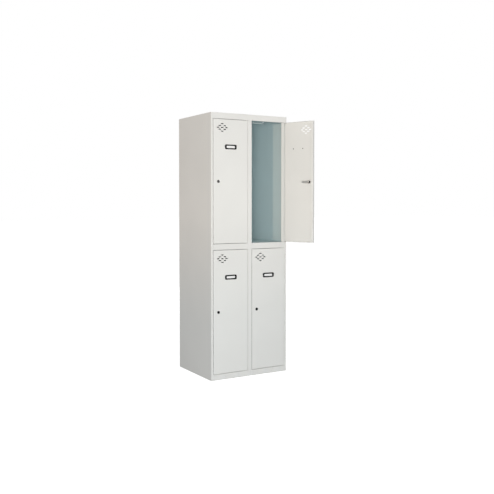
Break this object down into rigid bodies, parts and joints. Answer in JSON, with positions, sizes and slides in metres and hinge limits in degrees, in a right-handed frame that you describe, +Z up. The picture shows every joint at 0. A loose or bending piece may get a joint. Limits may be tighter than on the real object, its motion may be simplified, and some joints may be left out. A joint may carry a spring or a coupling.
{
  "type": "locker cabinet",
  "caption": "Steel locker cabinet in two columns and two tiers, with hinged doors, cam locks, vent slots, label holders and coat rails.",
  "frame": {"origin": "centre of the cabinet's base at floor level", "axes": "+Z up, -Y out of the doors, +X to the right when facing the doors"},
  "size_m": [0.6759, 0.7366, 1.8],
  "materials": {
    "cabinet_paint": "fine-textured powder coat",
    "door_paint": "fine-textured powder coat",
    "interior_paint": "powder coat",
    "zinc_steel": "zinc plated",
    "rail_steel": "satin tube",
    "rivet_aluminium": "satin",
    "label_plastic": "smooth black moulding",
    "label_paper": "matt card",
    "lock_black": "black lacquered zinc",
    "lock_chrome": "polished",
    "bush_nylon": "natural nylon",
    "buffer_rubber": "soft matt"
  },
  "bodies": {
    "carcass": {"side_panel_left": "cabinet_paint", "side_panel_right": "cabinet_paint", "partition": "interior_paint", "mullion": "cabinet_paint", "back_panel": "cabinet_paint", "top_panel": "cabinet_paint", "base_panel_left": "cabinet_paint", "base_panel_right": "cabinet_paint", "mid_shelf_left": "cabinet_paint", "mid_shelf_right": "cabinet_paint", "coat_rail_upper_left": "rail_steel", "coat_rail_upper_right": "rail_steel", "coat_rail_lower_left": "rail_steel", "coat_rail_lower_right": "rail_steel", "hinge_bushes": "bush_nylon", "door_buffers": "buffer_rubber", "rivets": "rivet_aluminium"},
    "door_upper_left": {"door_panel_upper_left": "door_paint", "hinge_pins_upper_left": "zinc_steel", "hinge_plates_upper_left": "zinc_steel", "label_frame_upper_left": "label_plastic", "label_card_upper_left": "label_paper", "lock_housing_upper_left": "lock_black", "lock_nut_upper_left": "zinc_steel"},
    "lock_upper_left": {"lock_plug_upper_left": "lock_chrome", "lock_cam_upper_left": "zinc_steel", "cam_screw_upper_left": "zinc_steel"},
    "door_upper_right": {"door_panel_upper_right": "door_paint", "hinge_pins_upper_right": "zinc_steel", "hinge_plates_upper_right": "zinc_steel", "label_frame_upper_right": "label_plastic", "label_card_upper_right": "label_paper", "lock_housing_upper_right": "lock_black", "lock_nut_upper_right": "zinc_steel"},
    "lock_upper_right": {"lock_plug_upper_right": "lock_chrome", "lock_cam_upper_right": "zinc_steel", "cam_screw_upper_right": "zinc_steel"},
    "door_lower_left": {"door_panel_lower_left": "door_paint", "hinge_pins_lower_left": "zinc_steel", "hinge_plates_lower_left": "zinc_steel", "label_frame_lower_left": "label_plastic", "label_card_lower_left": "label_paper", "lock_housing_lower_left": "lock_black", "lock_nut_lower_left": "zinc_steel"},
    "lock_lower_left": {"lock_plug_lower_left": "lock_chrome", "lock_cam_lower_left": "zinc_steel", "cam_screw_lower_left": "zinc_steel"},
    "door_lower_right": {"door_panel_lower_right": "door_paint", "hinge_pins_lower_right": "zinc_steel", "hinge_plates_lower_right": "zinc_steel", "label_frame_lower_right": "label_plastic", "label_card_lower_right": "label_paper", "lock_housing_lower_right": "lock_black", "lock_nut_lower_right": "zinc_steel"},
    "lock_lower_right": {"lock_plug_lower_right": "lock_chrome", "lock_cam_lower_right": "zinc_steel", "cam_screw_lower_right": "zinc_steel"}
  },
  "joints": [
    {"name": "door_upper_left_hinge", "type": "hinge", "parent": "carcass", "child": "door_upper_left", "pos_m": [-0.0255, -0.244, 1.34], "axis": [0, 0, 1], "range_deg": [0, 115]},
    {"name": "lock_upper_left_turn", "type": "hinge", "parent": "door_upper_left", "child": "lock_upper_left", "pos_m": [-0.245, -0.244, 1.34], "axis": [0, 1, 0], "range_deg": [0, 180]},
    {"name": "door_upper_right_hinge", "type": "hinge", "parent": "carcass", "child": "door_upper_right", "pos_m": [0.2745, -0.244, 1.34], "axis": [0, 0, 1], "range_deg": [-112, 3]},
    {"name": "lock_upper_right_turn", "type": "hinge", "parent": "door_upper_right", "child": "lock_upper_right", "pos_m": [0.35673, -0.44752, 1.34], "axis": [-0.9272, -0.3746, 0], "range_deg": [0, 180]},
    {"name": "door_lower_left_hinge", "type": "hinge", "parent": "carcass", "child": "door_lower_left", "pos_m": [-0.0255, -0.244, 0.46], "axis": [0, 0, 1], "range_deg": [0, 115]},
    {"name": "lock_lower_left_turn", "type": "hinge", "parent": "door_lower_left", "child": "lock_lower_left", "pos_m": [-0.245, -0.244, 0.46], "axis": [0, 1, 0], "range_deg": [0, 180]},
    {"name": "door_lower_right_hinge", "type": "hinge", "parent": "carcass", "child": "door_lower_right", "pos_m": [0.2745, -0.244, 0.46], "axis": [0, 0, 1], "range_deg": [0, 115]},
    {"name": "lock_lower_right_turn", "type": "hinge", "parent": "door_lower_right", "child": "lock_lower_right", "pos_m": [0.055, -0.244, 0.46], "axis": [0, 1, 0], "range_deg": [0, 180]}
  ]
}
